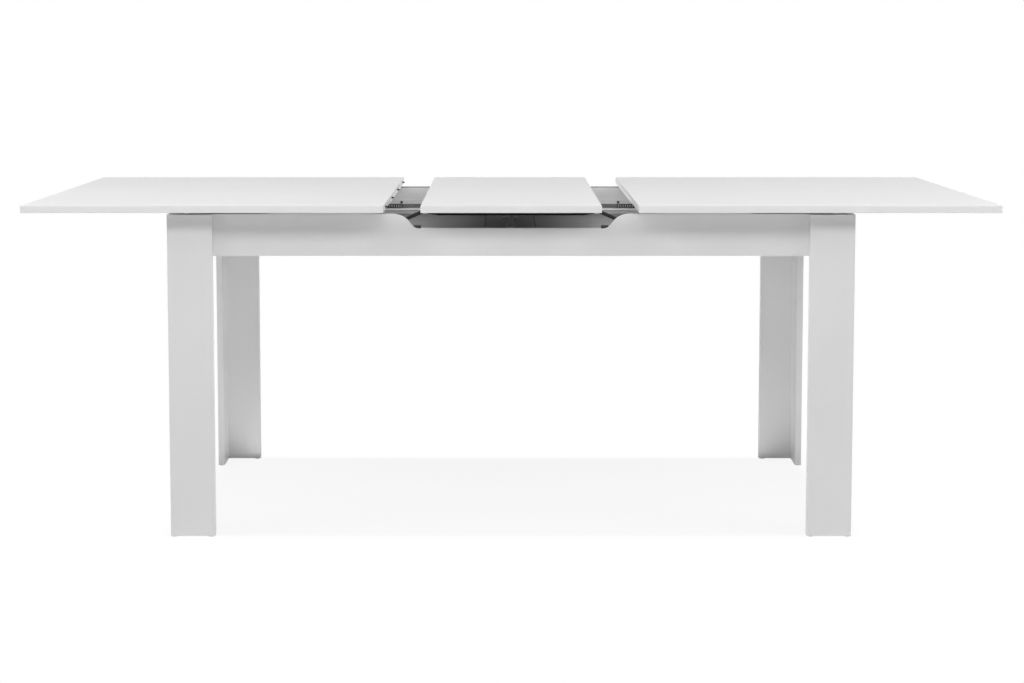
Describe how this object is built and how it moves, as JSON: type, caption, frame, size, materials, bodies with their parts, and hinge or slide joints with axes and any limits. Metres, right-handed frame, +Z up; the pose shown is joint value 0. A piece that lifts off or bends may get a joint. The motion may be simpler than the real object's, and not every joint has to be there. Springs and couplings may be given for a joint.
{
  "type": "extending table",
  "caption": "Extending dining table of white boards: two sliding top halves over a box frame with angle legs, and a leaf that rises between the halves from a scoop in the aprons.",
  "frame": {"origin": "on the floor under the middle of the table", "axes": "+X along the table to the right, +Y from the front to the back, +Z up"},
  "size_m": [2.164, 0.9, 0.75],
  "materials": {
    "white_board": "satin white melamine",
    "grey_board": "grey faced board",
    "raw_wood": "bare beech",
    "zinc_steel": "zinc plated",
    "dark_steel": "black satin",
    "glide_plastic": "matt",
    "bumper_rubber": "matt"
  },
  "bodies": {
    "frame": {"front_apron": "white_board", "rear_apron": "white_board", "left_end_apron": "white_board", "right_end_apron": "white_board", "front_left_leg_face": "white_board", "front_left_leg_side": "white_board", "front_right_leg_face": "white_board", "front_right_leg_side": "white_board", "rear_right_leg_face": "white_board", "rear_right_leg_side": "white_board", "rear_left_leg_face": "white_board", "rear_left_leg_side": "white_board", "front_left_corner_block": "raw_wood", "front_right_corner_block": "raw_wood", "rear_right_corner_block": "raw_wood", "rear_left_corner_block": "raw_wood", "foot_glides": "glide_plastic", "leg_bolts": "zinc_steel", "front_rail": "zinc_steel", "rear_rail": "zinc_steel", "rail_screws": "dark_steel", "cross_rail": "grey_board", "left_tray_panel": "grey_board", "right_tray_panel": "grey_board", "cross_rail_brackets": "zinc_steel", "lift_columns": "dark_steel", "leaf_bumpers": "bumper_rubber"},
    "left_carriage": {"left_front_carriage": "zinc_steel", "left_rear_carriage": "zinc_steel"},
    "right_carriage": {"right_front_carriage": "zinc_steel", "right_rear_carriage": "zinc_steel"},
    "left_half": {"left_top": "white_board", "left_front_runner": "dark_steel", "left_rear_runner": "dark_steel", "left_front_hanger": "zinc_steel", "left_rear_hanger": "zinc_steel", "left_hanger_screws": "zinc_steel", "left_top_pins": "dark_steel"},
    "right_half": {"right_top": "white_board", "right_front_runner": "dark_steel", "right_rear_runner": "dark_steel", "right_front_hanger": "zinc_steel", "right_rear_hanger": "zinc_steel", "right_hanger_screws": "zinc_steel"},
    "leaf": {"leaf_panel": "white_board", "front_carrier_strap": "dark_steel", "rear_carrier_strap": "dark_steel", "strap_screws": "dark_steel", "lift_rods": "dark_steel"}
  },
  "joints": [
    {"name": "left_carriage_slide", "type": "slide", "parent": "frame", "child": "left_carriage", "axis": [1, 0, 0], "range_m": [0, 0.1997]},
    {"name": "right_carriage_slide", "type": "slide", "parent": "frame", "child": "right_carriage", "axis": [-1, 0, 0], "range_m": [0, 0.1997]},
    {"name": "leaf_lift", "type": "slide", "parent": "frame", "child": "leaf", "axis": [0, 0, -1], "range_m": [0, 0.0385]},
    {"name": "left_half_slide", "type": "slide", "parent": "left_carriage", "child": "left_half", "axis": [1, 0, 0], "range_m": [0, 0.0817]},
    {"name": "right_half_slide", "type": "slide", "parent": "right_carriage", "child": "right_half", "axis": [-1, 0, 0], "range_m": [0, 0.0817]}
  ],
  "couplings": [
    {"joint": "right_carriage_slide", "follows": "left_carriage_slide", "ratio": 1},
    {"joint": "leaf_lift", "follows": "left_carriage_slide", "ratio": 0.19279}
  ]
}
